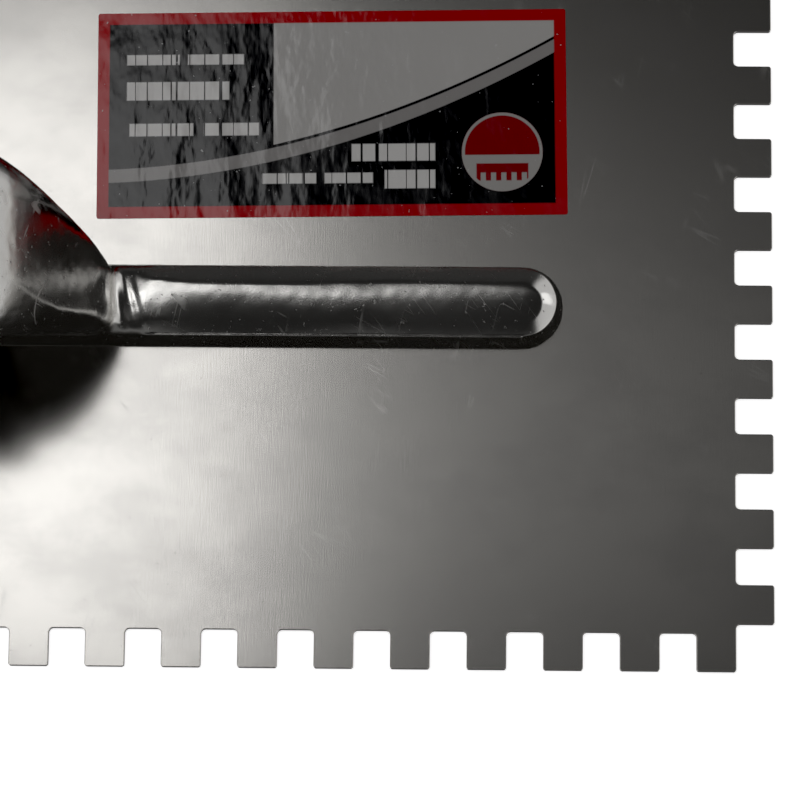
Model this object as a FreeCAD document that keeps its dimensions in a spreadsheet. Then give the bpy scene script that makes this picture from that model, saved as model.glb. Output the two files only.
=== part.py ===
import math
import os

import FreeCAD
import Part
import Sketcher

doc = FreeCAD.newDocument("notched_trowel")

# Driving dimensions, in millimetres and degrees. X runs from heel to toe, Y towards the
# plain long edge and Z up. The underside of the blade is at Z = 0.
sizes = {
    # blade: a flat stainless sheet, square notches on one long side and on the toe
    "blade_length": 280, "blade_width": 122.2, "blade_thick": 0.9,
    "heel_corner": 1.6, "edge_break": 0.12,
    "notch_pitch": 12.7, "notch_gap": 6.1, "notch_depth": 6.35,
    "root_radius": 0.8, "tip_radius": 0.45,
    "corner_cut": 7.9, "side_notches": 21, "toe_notches": 8,
    # bar: the cast foot that stiffens the blade
    "bar_length": 209.6, "bar_base_half": 7.1, "bar_shoulder_half": 5.8,
    "bar_shoulder_rise": 5.4, "bar_rise": 7.7, "bar_crown": 24,
    # rivets that hold the bar, countersunk from below
    "rivet_count": 8, "rivet_pitch": 27, "rivet_shank": 5, "rivet_head": 8.4,
    "rivet_head_deep": 0.7, "rivet_grip": 5,
    # post: fillet where it grows out of the bar
    "post_foot": 2.5,
    # neck: the casting's face that the handle butts against, and its axis height
    "neck_face": 8.5, "axis_height": 49.5,
    "tang_diameter": 8, "tang_in_neck": 9, "tang_end": -100.5,
    "pin_diameter": 4, "pin_drop": 9, "pin_in_neck": 5.5, "pin_in_core": 8,
    # handle: wall of the soft sleeve, set-back of the inlays, clearance around them
    "grip_wall": 3.2, "inlay_sink": 0.35, "inlay_gap": 0.3,
    "inlay_front": -11, "inlay_front_radius": 7, "inlay_back": -89, "inlay_back_radius": 4.5,
    "inlay_rise": 50.8, "trim_margin": 5, "trim_half": 30, "rod_chamfer": 0.6,
    "recess_diameter": 18, "recess_floor": -90,
    "washer_diameter": 17, "washer_thick": 1.6,
    "nut_across_flats": 13, "nut_thick": 6.5,
    # end cap with its hanging hole
    "cap_spigot": 6, "cap_spigot_diameter": 17.8, "cap_round": 4,
    "hang_hole": 8, "hang_hole_back": 116.2, "hang_hole_rise": 48.2,
    # label: a thin self-adhesive sheet, stuck on slightly askew
    "label_length": 80, "label_width": 36, "label_thick": 0.12,
    "label_x": 65.2, "label_y": 33.6, "label_skew": 0.9, "label_corner": 0.4,
}

# Post of the casting, from inside the bar up to the neck: where each section lies, how far
# it leans back, its depth front to back, its width and its corner radius.
post_sections = [
    {"x": 19.7, "z": 2.6, "lean": 0, "deep": 21.4, "wide": 11.6, "round": 4.2},
    {"x": 19.2, "z": 11.0, "lean": 1, "deep": 20.4, "wide": 14.0, "round": 4.2},
    {"x": 17.8, "z": 24.0, "lean": 4, "deep": 18.6, "wide": 18.6, "round": 4.4},
    {"x": 15.6, "z": 37.0, "lean": 18, "deep": 16.0, "wide": 24.0, "round": 5.2},
    {"x": 13.0, "z": 44.6, "lean": 50, "deep": 20.6, "wide": 28.8, "round": 8.8},
    {"x": 8.5, "z": 49.5, "lean": 90, "deep": 29.6, "wide": 32.4, "round": 14.4},
]

# Outer form of the handle, from the neck to the cap, and of the cap behind it.
grip_sections = [
    {"x": 8.5, "z": 49.5, "wide": 38.0, "high": 33.4},
    {"x": 5.2, "z": 49.6, "wide": 40.6, "high": 36.0},
    {"x": -2, "z": 49.9, "wide": 39.8, "high": 36.6},
    {"x": -13, "z": 50.6, "wide": 36.8, "high": 34.6},
    {"x": -32, "z": 51.6, "wide": 31.6, "high": 31.2},
    {"x": -56, "z": 52.2, "wide": 34.8, "high": 34.2},
    {"x": -80, "z": 51.4, "wide": 33.4, "high": 33.0},
    {"x": -98, "z": 49.8, "wide": 29.4, "high": 29.0},
    {"x": -108, "z": 48.9, "wide": 28.4, "high": 28.0},
]
cap_sections = [
    {"x": -108, "z": 48.9, "wide": 28.4, "high": 28.0},
    {"x": -113, "z": 48.4, "wide": 28.4, "high": 27.8},
    {"x": -119, "z": 47.9, "wide": 24.6, "high": 23.6},
    {"x": -124, "z": 47.6, "wide": 16.0, "high": 15.0},
]
for group, sections in (("post", post_sections), ("grip", grip_sections), ("cap", cap_sections)):
    for number, section in enumerate(sections):
        for key, value in section.items():
            sizes[f"{group}_{key}_{number}"] = value

sheet = doc.addObject("Spreadsheet::Sheet", "dims")
for row, (alias, value) in enumerate(sizes.items(), start=1):
    sheet.set(f"A{row}", alias)
    sheet.set(f"B{row}", str(value))
    sheet.setAlias(f"B{row}", alias)
doc.recompute()


first_rivet = "-(dims.rivet_count - 1) / 2 * dims.rivet_pitch"


def dim(alias):
    """The value of one cell of the sheet."""
    return float(sheet.get(alias))


def new_body(label):
    body = doc.addObject("PartDesign::Body", label)
    body.Label = label
    return body


def plane(body, role):
    return next(feature for feature in body.Origin.OriginFeatures if feature.Role == role)


def new_sketch(body, name, role, offset=None):
    """A sketch on one of the body's own origin planes. offset binds the sketch's place:
    for example {"z": "dims.blade_thick"}, along the plane's own axes."""
    sketch = body.newObject("Sketcher::SketchObject", name)
    sketch.AttachmentSupport = [(plane(body, role), "")]
    sketch.MapMode = "FlatFace"
    for axis, formula in (offset or {}).items():
        sketch.setExpression(f"AttachmentOffset.Base.{axis}", formula)
    return sketch


def bind(sketch, name, constraint, formula):
    """Adds one dimension to a sketch and ties it to the sheet."""
    index = sketch.addConstraint(constraint)
    sketch.renameConstraint(index, name)
    sketch.setExpression(f"Constraints.{name}", formula)


def add_circle(sketch, diameter, x=None, y=None):
    """A circle whose diameter, and centre if it isn't the origin, are formulas."""
    circle = sketch.addGeometry(Part.Circle(FreeCAD.Vector(1, 1, 0), FreeCAD.Vector(0, 0, 1), 2))
    bind(sketch, f"diameter_{circle}", Sketcher.Constraint("Diameter", circle, 4), diameter)
    if x is None and y is None:
        sketch.addConstraint(Sketcher.Constraint("Coincident", circle, 3, -1, 1))
        return
    bind(sketch, f"across_{circle}", Sketcher.Constraint("DistanceX", -1, 1, circle, 3, 1), x or "0")
    bind(sketch, f"along_{circle}", Sketcher.Constraint("DistanceY", -1, 1, circle, 3, 1), y or "0")


def add_polygon(sketch, points):
    """Straight edges through the points, joined end to end and closed."""
    ends = points[1:] + points[:1]
    first = sketch.GeometryCount
    for start, end in zip(points, ends):
        sketch.addGeometry(Part.LineSegment(FreeCAD.Vector(*start, 0), FreeCAD.Vector(*end, 0)))
    for edge in range(len(points)):
        following = first + (edge + 1) % len(points)
        sketch.addConstraint(Sketcher.Constraint("Coincident", first + edge, 2, following, 1))
    return first


def add_box(sketch, left, right, low, high):
    """An upright rectangle between four formulas, each a distance from the origin."""
    first = add_polygon(sketch, [(-2, -2), (2, -2), (2, 2), (-2, 2)])
    for edge in (0, 2):
        sketch.addConstraint(Sketcher.Constraint("Horizontal", first + edge))
        sketch.addConstraint(Sketcher.Constraint("Vertical", first + edge + 1))
    bind(sketch, f"left_{first}", Sketcher.Constraint("DistanceX", -1, 1, first, 1, -2), left)
    bind(sketch, f"right_{first}", Sketcher.Constraint("DistanceX", -1, 1, first + 1, 1, 2), right)
    bind(sketch, f"low_{first}", Sketcher.Constraint("DistanceY", -1, 1, first, 1, -2), low)
    bind(sketch, f"high_{first}", Sketcher.Constraint("DistanceY", -1, 1, first + 2, 1, 2), high)


def add_ellipse(sketch, wide, high):
    """An ellipse about the origin, wide across and high up, both formulas."""
    centre, side, top = FreeCAD.Vector(0, 0, 0), FreeCAD.Vector(20, 0, 0), FreeCAD.Vector(0, 15, 0)
    ellipse = sketch.addGeometry(Part.Ellipse(side, top, centre))
    sketch.exposeInternalGeometry(ellipse)
    sketch.addConstraint(Sketcher.Constraint("Coincident", ellipse, 3, -1, 1))
    sketch.addConstraint(Sketcher.Constraint("Horizontal", ellipse + 1))
    bind(sketch, "wide", Sketcher.Constraint("Distance", ellipse + 1, 40), wide)
    bind(sketch, "high", Sketcher.Constraint("Distance", ellipse + 2, 30), high)


def new_feature(body, kind, name, profile=None, **values):
    """A feature on a body's profile. A value that is text is a formula."""
    feature = body.newObject(f"PartDesign::{kind}", name)
    if profile is not None:
        feature.Profile = profile
    for key, value in values.items():
        if isinstance(value, str) and value.startswith("="):
            feature.setExpression(key, value[1:])
        else:
            setattr(feature, key, value)
    return feature


def new_pattern(body, name, original, role, count, pitch, reverse=False):
    """Repeats a feature along one of the body's origin axes."""
    pattern = body.newObject("PartDesign::LinearPattern", name)
    pattern.Originals = [original]
    pattern.Direction = (plane(body, role), [""])
    pattern.Mode = "Spacing"
    pattern.Reversed = reverse
    pattern.setExpression("Occurrences", count)
    pattern.setExpression("Offset", pitch)
    body.Tip = pattern
    return pattern


def check_cuts(feature, before):
    """Stops if a feature that should remove metal left the volume as it was."""
    doc.recompute()
    if not feature.Shape.Volume < before.Shape.Volume - 0.01:
        raise RuntimeError(f"{feature.Label} removes nothing")


def add_arc(sketch, centre, radius, start, end):
    """An arc about a centre, between two angles in degrees, anticlockwise."""
    circle = Part.Circle(FreeCAD.Vector(*centre, 0), FreeCAD.Vector(0, 0, 1), radius)
    return sketch.addGeometry(Part.ArcOfCircle(circle, math.radians(start), math.radians(end)))


def add_line(sketch, start, end):
    return sketch.addGeometry(Part.LineSegment(FreeCAD.Vector(*start, 0), FreeCAD.Vector(*end, 0)))


def join(sketch, first, first_end, second, second_end, smooth=False):
    kind = "Tangent" if smooth else "Coincident"
    sketch.addConstraint(Sketcher.Constraint(kind, first, first_end, second, second_end))


def add_round_box(sketch, wide, high, corner):
    """A rectangle about the origin with rounded corners, all three sizes formulas."""
    w, d, r = 8, 7, 4
    right = add_line(sketch, (w, -d + r), (w, d - r))
    corner_1 = add_arc(sketch, (w - r, d - r), r, 0, 90)
    top = add_line(sketch, (w - r, d), (-w + r, d))
    corner_2 = add_arc(sketch, (-w + r, d - r), r, 90, 180)
    left = add_line(sketch, (-w, d - r), (-w, -d + r))
    corner_3 = add_arc(sketch, (-w + r, -d + r), r, 180, 270)
    bottom = add_line(sketch, (-w + r, -d), (w - r, -d))
    corner_4 = add_arc(sketch, (w - r, -d + r), r, 270, 360)
    ring = [right, corner_1, top, corner_2, left, corner_3, bottom, corner_4]
    for edge, following in zip(ring, ring[1:] + ring[:1]):
        join(sketch, edge, 2, following, 1, smooth=True)
    for arc in (corner_2, corner_3, corner_4):
        sketch.addConstraint(Sketcher.Constraint("Equal", corner_1, arc))
    for upright, level in ((right, top), (left, bottom)):
        sketch.addConstraint(Sketcher.Constraint("Vertical", upright))
        sketch.addConstraint(Sketcher.Constraint("Horizontal", level))
    sketch.addConstraint(Sketcher.Constraint("Symmetric", corner_1, 3, corner_3, 3, -1, 1))
    bind(sketch, "wide", Sketcher.Constraint("Distance", left, 1, right, 2 * w), wide)
    bind(sketch, "high", Sketcher.Constraint("Distance", top, 1, bottom, 2 * d), high)
    bind(sketch, "corner", Sketcher.Constraint("Radius", corner_1, r), corner)


def add_notch(sketch):
    """One square notch: the origin is the middle of its mouth, and it runs up the sketch.
    Its two mouth corners are the rounded tips of the teeth beside it."""
    g, d, root, tip = 3, 6.3, 0.8, 0.4
    mouth = add_line(sketch, (-g - tip, -1), (g + tip, -1))
    lip_1 = add_line(sketch, (g + tip, -1), (g + tip, 0))
    tip_1 = add_arc(sketch, (g + tip, tip), tip, 180, 270)
    wall_1 = add_line(sketch, (g, tip), (g, d - root))
    root_1 = add_arc(sketch, (g - root, d - root), root, 0, 90)
    floor = add_line(sketch, (g - root, d), (-g + root, d))
    root_2 = add_arc(sketch, (-g + root, d - root), root, 90, 180)
    wall_2 = add_line(sketch, (-g, d - root), (-g, tip))
    tip_2 = add_arc(sketch, (-g - tip, tip), tip, 270, 360)
    lip_2 = add_line(sketch, (-g - tip, 0), (-g - tip, -1))
    join(sketch, mouth, 2, lip_1, 1)
    join(sketch, lip_1, 2, tip_1, 2)
    join(sketch, tip_1, 1, wall_1, 1, smooth=True)
    join(sketch, wall_1, 2, root_1, 1, smooth=True)
    join(sketch, root_1, 2, floor, 1, smooth=True)
    join(sketch, floor, 2, root_2, 1, smooth=True)
    join(sketch, root_2, 2, wall_2, 1, smooth=True)
    join(sketch, wall_2, 2, tip_2, 2, smooth=True)
    join(sketch, tip_2, 1, lip_2, 1)
    join(sketch, lip_2, 2, mouth, 1)
    for line in (wall_1, wall_2, lip_1, lip_2):
        sketch.addConstraint(Sketcher.Constraint("Vertical", line))
    sketch.addConstraint(Sketcher.Constraint("Horizontal", floor))
    sketch.addConstraint(Sketcher.Constraint("Vertical", tip_1, 3, lip_1, 2))
    sketch.addConstraint(Sketcher.Constraint("Vertical", tip_2, 3, lip_2, 1))
    sketch.addConstraint(Sketcher.Constraint("PointOnObject", lip_1, 2, -1))
    sketch.addConstraint(Sketcher.Constraint("PointOnObject", lip_2, 1, -1))
    sketch.addConstraint(Sketcher.Constraint("Symmetric", wall_1, 2, wall_2, 1, -2))
    sketch.addConstraint(Sketcher.Constraint("Symmetric", mouth, 1, mouth, 2, -2))
    bind(sketch, "overrun", Sketcher.Constraint("DistanceY", mouth, 1, -1, 1, 1), "1 mm")
    bind(sketch, "gap", Sketcher.Constraint("DistanceX", wall_2, 1, wall_1, 2, 2 * g), "dims.notch_gap")
    bind(sketch, "depth", Sketcher.Constraint("DistanceY", -1, 1, floor, 1, d), "dims.notch_depth")
    bind(sketch, "root", Sketcher.Constraint("Radius", root_1, root), "dims.root_radius")
    bind(sketch, "tip", Sketcher.Constraint("Radius", tip_1, tip), "dims.tip_radius")


def edges_at(feature, spots):
    """Names of the upright edges that stand at the given points in plan."""
    names = []
    for number, edge in enumerate(feature.Shape.Edges, start=1):
        ends = [vertex.Point for vertex in edge.Vertexes]
        upright = len(ends) == 2 and (ends[0] - ends[1]).cross(FreeCAD.Vector(0, 0, 1)).Length < 1e-6
        for x, y in spots:
            if upright and abs(ends[0].x - x) + abs(ends[0].y - y) < 1e-4:
                names.append(f"Edge{number}")
    if len(names) != len(spots):
        raise RuntimeError(f"{feature.Label}: {len(names)} corner edges for {len(spots)} corners")
    return names


def add_dress_up(body, kind, name, base, edges, key, formula):
    feature = body.newObject(f"PartDesign::{kind}", name)
    feature.Base = (base, edges)
    feature.setExpression(key, formula)
    body.Tip = feature
    return feature


# Blade: sheet, corner cut away between the two notched sides, then the two rows of notches.
def make_blade():
    body = new_body("blade")
    outline = new_sketch(body, "blade_outline", "XY_Plane")
    half_length, half_width = "dims.blade_length / 2", "dims.blade_width / 2"
    add_box(outline, "-" + half_length, half_length, "-" + half_width, half_width)
    plate = new_feature(body, "Pad", "blade_plate", outline, Length="=dims.blade_thick")

    corner = new_sketch(body, "corner_outline", "XY_Plane")
    add_box(corner, half_length + " - dims.notch_depth", half_length + " + 1",
            "-" + half_width + " - 1", "dims.corner_cut - " + half_width)
    cut = new_feature(body, "Pocket", "corner_away", corner, Type="ThroughAll", Reversed=True)
    check_cuts(cut, plate)

    x_end, y_end = dim("blade_length") / 2, dim("blade_width") / 2
    x_cut, y_cut = x_end - dim("notch_depth"), dim("corner_cut") - y_end
    tips = add_dress_up(body, "Fillet", "corner_tips", cut,
                        edges_at(cut, [(x_cut, -y_end), (x_end, y_cut)]), "Radius", "dims.tip_radius")
    doc.recompute()
    root = add_dress_up(body, "Fillet", "corner_root", tips,
                        edges_at(tips, [(x_cut, y_cut)]), "Radius", "dims.root_radius")
    doc.recompute()
    heel = add_dress_up(body, "Fillet", "plain_corners", root,
                        edges_at(root, [(-x_end, -y_end), (-x_end, y_end), (x_end, y_end)]),
                        "Radius", "dims.heel_corner")

    tooth_and_gap = "(dims.notch_pitch - dims.notch_gap) + dims.notch_gap / 2"
    side = new_sketch(body, "side_notch", "XY_Plane", {
        "x": f"{half_length} - dims.notch_depth - ({tooth_and_gap})", "y": "-" + half_width})
    add_notch(side)
    side_cut = new_feature(body, "Pocket", "side_notch_cut", side, Type="ThroughAll", Reversed=True)
    check_cuts(side_cut, heel)
    side_row = new_pattern(body, "side_notch_row", side_cut, "X_Axis",
                           "dims.side_notches", "dims.notch_pitch", reverse=True)

    toe = new_sketch(body, "toe_notch", "XY_Plane")
    toe.AttachmentOffset = FreeCAD.Placement(
        FreeCAD.Vector(0, 0, 0), FreeCAD.Rotation(FreeCAD.Vector(0, 0, 1), 90))
    toe.setExpression("AttachmentOffset.Base.x", half_length)
    toe.setExpression("AttachmentOffset.Base.y", f"dims.corner_cut - {half_width} + {tooth_and_gap}")
    add_notch(toe)
    toe_cut = new_feature(body, "Pocket", "toe_notch_cut", toe, Type="ThroughAll", Reversed=True)
    check_cuts(toe_cut, side_row)
    toe_row = new_pattern(body, "toe_notch_row", toe_cut, "Y_Axis", "dims.toe_notches", "dims.notch_pitch")

    sink = new_sketch(body, "rivet_sink", "XZ_Plane", {"x": first_rivet})
    add_rivet_outline(sink, "dims.blade_thick")
    holes = new_feature(body, "Groove", "rivet_hole", sink, ReferenceAxis=(sink, ["V_Axis"]), Angle=360)
    check_cuts(holes, toe_row)
    hole_row = new_pattern(body, "rivet_hole_row", holes, "X_Axis", "dims.rivet_count", "dims.rivet_pitch")
    doc.recompute()

    top = max(hole_row.Shape.Faces, key=lambda face: (round(face.CenterOfMass.z, 4), face.Area))
    rim = [number for number, edge in enumerate(hole_row.Shape.Edges, start=1)
           if any(edge.isSame(other) for other in top.OuterWire.Edges)]
    add_dress_up(body, "Chamfer", "broken_edge", hole_row, [f"Edge{number}" for number in rim],
                 "Size", "dims.edge_break")
    return body


def add_rivet_outline(sketch, top):
    """Half of a countersunk rivet beside its axis, from the flush head up to a height."""
    points = [(0, 0), (4, 0), (2.5, 0.7), (2.5, 3), (0, 3)]
    axis_foot = add_polygon(sketch, points)
    slope, shank, end = axis_foot + 1, axis_foot + 2, axis_foot + 3
    sketch.addConstraint(Sketcher.Constraint("Coincident", axis_foot, 1, -1, 1))
    sketch.addConstraint(Sketcher.Constraint("Horizontal", axis_foot))
    sketch.addConstraint(Sketcher.Constraint("Vertical", shank))
    sketch.addConstraint(Sketcher.Constraint("Horizontal", end))
    sketch.addConstraint(Sketcher.Constraint("Vertical", axis_foot + 4))
    bind(sketch, "head", Sketcher.Constraint("DistanceX", axis_foot, 1, axis_foot, 2, 4),
         "dims.rivet_head / 2")
    bind(sketch, "shank", Sketcher.Constraint("DistanceX", -1, 1, shank, 1, 2.5), "dims.rivet_shank / 2")
    bind(sketch, "deep", Sketcher.Constraint("DistanceY", -1, 1, slope, 2, 0.7), "dims.rivet_head_deep")
    bind(sketch, "top", Sketcher.Constraint("DistanceY", -1, 1, end, 1, 3), top)


def make_rivets():
    body = new_body("blade_rivets")
    outline = new_sketch(body, "rivet_outline", "XZ_Plane", {"x": first_rivet})
    add_rivet_outline(outline, "dims.blade_thick + dims.rivet_grip")
    rivet = new_feature(body, "Revolution", "rivet", outline,
                        ReferenceAxis=(outline, ["V_Axis"]), Angle=360)
    new_pattern(body, "rivet_row", rivet, "X_Axis", "dims.rivet_count", "dims.rivet_pitch")
    return body


def add_bar_outline(sketch, half):
    """The bar's section: flat base, sides that lean in, round shoulders and a domed crown.
    half draws only the side beside the axis, closed along it, for the rounded ends."""
    base_z, half_width, top_z = 0.9, 7.1, 8.6
    side_1 = add_line(sketch, (half_width, base_z), (5.8, 6.3))
    shoulder_1 = add_arc(sketch, (3.6, 5.8), 2.26, 14, 81)
    if half:
        crown = add_arc(sketch, (0, -15.4), 24, 81, 90)
        axis = add_line(sketch, (0, top_z), (0, base_z))
        base = add_line(sketch, (0, base_z), (half_width, base_z))
        join(sketch, crown, 2, axis, 1)
        join(sketch, axis, 2, base, 1)
        sketch.addConstraint(Sketcher.Constraint("Horizontal", base))
        sketch.addConstraint(Sketcher.Constraint("PointOnObject", axis, 1, -2))
        sketch.addConstraint(Sketcher.Constraint("PointOnObject", axis, 2, -2))
    else:
        crown = add_arc(sketch, (0, -15.4), 24, 81, 99)
        shoulder_2 = add_arc(sketch, (-3.6, 5.8), 2.26, 99, 166)
        side_2 = add_line(sketch, (-5.8, 6.3), (-half_width, base_z))
        base = add_line(sketch, (-half_width, base_z), (half_width, base_z))
        join(sketch, crown, 2, shoulder_2, 1, smooth=True)
        join(sketch, shoulder_2, 2, side_2, 1, smooth=True)
        join(sketch, side_2, 2, base, 1)
        sketch.addConstraint(Sketcher.Constraint("Symmetric", base, 1, base, 2, -2))
        sketch.addConstraint(Sketcher.Constraint("Equal", shoulder_1, shoulder_2))
    join(sketch, base, 2, side_1, 1)
    join(sketch, side_1, 2, shoulder_1, 1, smooth=True)
    join(sketch, shoulder_1, 2, crown, 1, smooth=True)
    sketch.addConstraint(Sketcher.Constraint("PointOnObject", crown, 3, -2))
    bind(sketch, "base_height", Sketcher.Constraint("DistanceY", -1, 1, base, 2, base_z),
         "dims.blade_thick")
    bind(sketch, "base_half", Sketcher.Constraint("DistanceX", -1, 1, base, 2, half_width),
         "dims.bar_base_half")
    bind(sketch, "shoulder_half", Sketcher.Constraint("DistanceX", -1, 1, side_1, 2, 5.8),
         "dims.bar_shoulder_half")
    bind(sketch, "shoulder_height", Sketcher.Constraint("DistanceY", -1, 1, side_1, 2, 6.3),
         "dims.blade_thick + dims.bar_shoulder_rise")
    bind(sketch, "crown_radius", Sketcher.Constraint("Radius", crown, 24), "dims.bar_crown")
    bind(sketch, "crown_height", Sketcher.Constraint("DistanceY", crown, 3, -1, 1, 15.4),
         "dims.bar_crown - dims.blade_thick - dims.bar_rise")


# Mounting: one aluminium casting of bar, post and neck, drilled for rivets, tang and pin.
def make_mounting():
    body = new_body("mounting")
    section = new_sketch(body, "bar_section", "YZ_Plane")
    add_bar_outline(section, half=False)
    straight = "dims.bar_length / 2 - dims.bar_base_half"
    new_feature(body, "Pad", "bar_run", section, SideType="Symmetric", Length=f"=2 * ({straight})")
    for name, side in (("toe_end", ""), ("heel_end", "-")):
        profile = new_sketch(body, name + "_profile", "XZ_Plane", {"x": f"{side}({straight})"})
        add_bar_outline(profile, half=True)
        new_feature(body, "Revolution", name, profile, ReferenceAxis=(profile, ["V_Axis"]), Angle=360)

    rings = []
    for number, values in enumerate(post_sections):
        ring = new_sketch(body, f"post_ring_{number}", "XY_Plane")
        ring.AttachmentOffset = FreeCAD.Placement(
            FreeCAD.Vector(0, 0, 0), FreeCAD.Rotation(FreeCAD.Vector(0, 1, 0), -values["lean"]))
        if values["lean"]:
            ring.setExpression("AttachmentOffset.Rotation.Angle", f"-dims.post_lean_{number}")
        ring.setExpression("AttachmentOffset.Base.x", f"dims.post_x_{number}")
        ring.setExpression("AttachmentOffset.Base.z", f"dims.post_z_{number}")
        add_round_box(ring, f"dims.post_deep_{number}", f"dims.post_wide_{number}",
                      f"dims.post_round_{number}")
        rings.append(ring)
    post = new_feature(body, "AdditiveLoft", "post", rings[0], Sections=rings[1:])
    doc.recompute()
    crest = dim("blade_thick") + dim("bar_rise")
    foot = []
    for number, edge in enumerate(post.Shape.Edges, start=1):
        box = edge.BoundBox
        near = abs(box.Center.x - dim("post_x_0")) < dim("post_deep_0") / 2 + 1
        if near and box.ZMin > crest - dim("bar_shoulder_rise") and box.ZMax < crest + 0.5:
            foot.append(f"Edge{number}")
    post = add_dress_up(body, "Fillet", "post_foot", post, foot, "Radius", "dims.post_foot")
    doc.recompute()

    socket = new_sketch(body, "tang_socket", "YZ_Plane", {"z": "dims.neck_face"})
    add_circle(socket, "dims.tang_diameter", "0", "dims.axis_height")
    bored = new_feature(body, "Pocket", "tang_bore", socket, Length="=dims.tang_in_neck", Reversed=True)
    check_cuts(bored, post)
    pin = new_sketch(body, "pin_socket", "YZ_Plane", {"z": "dims.neck_face"})
    add_circle(pin, "dims.pin_diameter", "0", "dims.axis_height - dims.pin_drop")
    pinned = new_feature(body, "Pocket", "pin_bore", pin, Length="=dims.pin_in_neck", Reversed=True)
    check_cuts(pinned, bored)
    shank = new_sketch(body, "rivet_socket", "XY_Plane", {"x": first_rivet, "z": "dims.blade_thick"})
    add_circle(shank, "dims.rivet_shank")
    riveted = new_feature(body, "Pocket", "rivet_bore", shank, Length="=dims.rivet_grip", Reversed=True)
    check_cuts(riveted, pinned)
    new_pattern(body, "rivet_bore_row", riveted, "X_Axis", "dims.rivet_count", "dims.rivet_pitch")
    return body


def add_rings(body, skin, group, sections, inset):
    """Sketches of a handle's sections, each drawn in by inset all round. skin names the set."""
    rings = []
    for number in range(len(sections)):
        ring = new_sketch(body, f"{body.Label}_{skin}_{number}", "YZ_Plane",
                          {"z": f"dims.{group}_x_{number}", "y": f"dims.{group}_z_{number}"})
        add_ellipse(ring, f"dims.{group}_wide_{number} - 2 * ({inset})",
                    f"dims.{group}_high_{number} - 2 * ({inset})")
        rings.append(ring)
    return rings


def add_window(sketch, grow):
    """The outline of a side inlay: a slot that tapers towards the cap, grown all round."""
    front, back = (-11, 50.8), (-89, 50.8)
    round_1 = add_arc(sketch, front, 7, -88, 88)
    line_1 = add_line(sketch, (front[0], front[1] + 7), (back[0], back[1] + 4.5))
    round_2 = add_arc(sketch, back, 4.5, 92, 268)
    line_2 = add_line(sketch, (back[0], back[1] - 4.5), (front[0], front[1] - 7))
    join(sketch, round_1, 2, line_1, 1, smooth=True)
    join(sketch, line_1, 2, round_2, 1, smooth=True)
    join(sketch, round_2, 2, line_2, 1, smooth=True)
    join(sketch, line_2, 2, round_1, 1, smooth=True)
    for name, arc, x, radius in (("front", round_1, -11, 7), ("back", round_2, -89, 4.5)):
        bind(sketch, name + "_x", Sketcher.Constraint("DistanceX", -1, 1, arc, 3, x), f"dims.inlay_{name}")
        bind(sketch, name + "_z", Sketcher.Constraint("DistanceY", -1, 1, arc, 3, 50.8), "dims.inlay_rise")
        bind(sketch, name + "_radius", Sketcher.Constraint("Radius", arc, radius),
             f"dims.inlay_{name}_radius + {grow}")


def add_trim(sketch):
    """A box in side view that clears the whole grip, for trimming a shell down to an inlay."""
    add_box(sketch, "dims.cap_x_0 - dims.trim_margin", "dims.neck_face + dims.trim_margin",
            "dims.axis_height - dims.trim_half", "dims.axis_height + dims.trim_half")


# Handle core: the hard inner body, bored for the tang, the nut and the pin.
def make_core():
    body = new_body("handle_core")
    rings = add_rings(body, "skin", "grip", grip_sections, "dims.grip_wall")
    blank = new_feature(body, "AdditiveLoft", "core_blank", rings[0], Sections=rings[1:])
    front = {"z": "dims.neck_face"}
    bores = [
        ("tang_way", front, "dims.tang_diameter", "dims.axis_height", "dims.neck_face - dims.recess_floor"),
        ("pin_way", front, "dims.pin_diameter", "dims.axis_height - dims.pin_drop", "dims.pin_in_core"),
        ("nut_recess", {"z": "dims.recess_floor"}, "dims.recess_diameter", "dims.axis_height",
         "dims.recess_floor - dims.cap_x_0"),
    ]
    for name, offset, diameter, height, length in bores:
        circle = new_sketch(body, name + "_circle", "YZ_Plane", offset)
        add_circle(circle, diameter, "0", height)
        before = blank
        blank = new_feature(body, "Pocket", name, circle, Length="=" + length)
        check_cuts(blank, before)
    return body


# Soft grip: a sleeve moulded over the core, with a window on each side for an inlay.
def make_grip():
    body = new_body("soft_grip")
    outer = add_rings(body, "outer", "grip", grip_sections, "0")
    new_feature(body, "AdditiveLoft", "grip_blank", outer[0], Sections=outer[1:])
    inner = add_rings(body, "inner", "grip", grip_sections, "dims.grip_wall")
    sleeve = new_feature(body, "SubtractiveLoft", "grip_hollow", inner[0], Sections=inner[1:])
    doc.recompute()
    window = new_sketch(body, "window_outline", "XZ_Plane")
    add_window(window, "dims.inlay_gap")
    opened = new_feature(body, "Pocket", "windows", window, SideType="Symmetric", Type="ThroughAll")
    check_cuts(opened, sleeve)
    return body


# Side inlay: a hard plate that fills one window of the grip, set slightly below its surface.
def make_inlay(label, side):
    body = new_body(label)
    outer = add_rings(body, "outer", "grip", grip_sections, "dims.inlay_sink")
    new_feature(body, "AdditiveLoft", label + "_blank", outer[0], Sections=outer[1:])
    inner = add_rings(body, "inner", "grip", grip_sections, "dims.grip_wall")
    shell = new_feature(body, "SubtractiveLoft", label + "_hollow", inner[0], Sections=inner[1:])
    doc.recompute()
    around = new_sketch(body, label + "_surround", "XZ_Plane")
    add_trim(around)
    add_window(around, "0")
    plates = new_feature(body, "Pocket", label + "_outline", around, SideType="Symmetric",
                         Type="ThroughAll")
    check_cuts(plates, shell)
    other = new_sketch(body, label + "_other_side", "XZ_Plane")
    add_trim(other)
    one = new_feature(body, "Pocket", label + "_one_side", other, Length="=dims.grip_wide_2",
                      Reversed=side > 0)
    check_cuts(one, plates)
    return body


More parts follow.
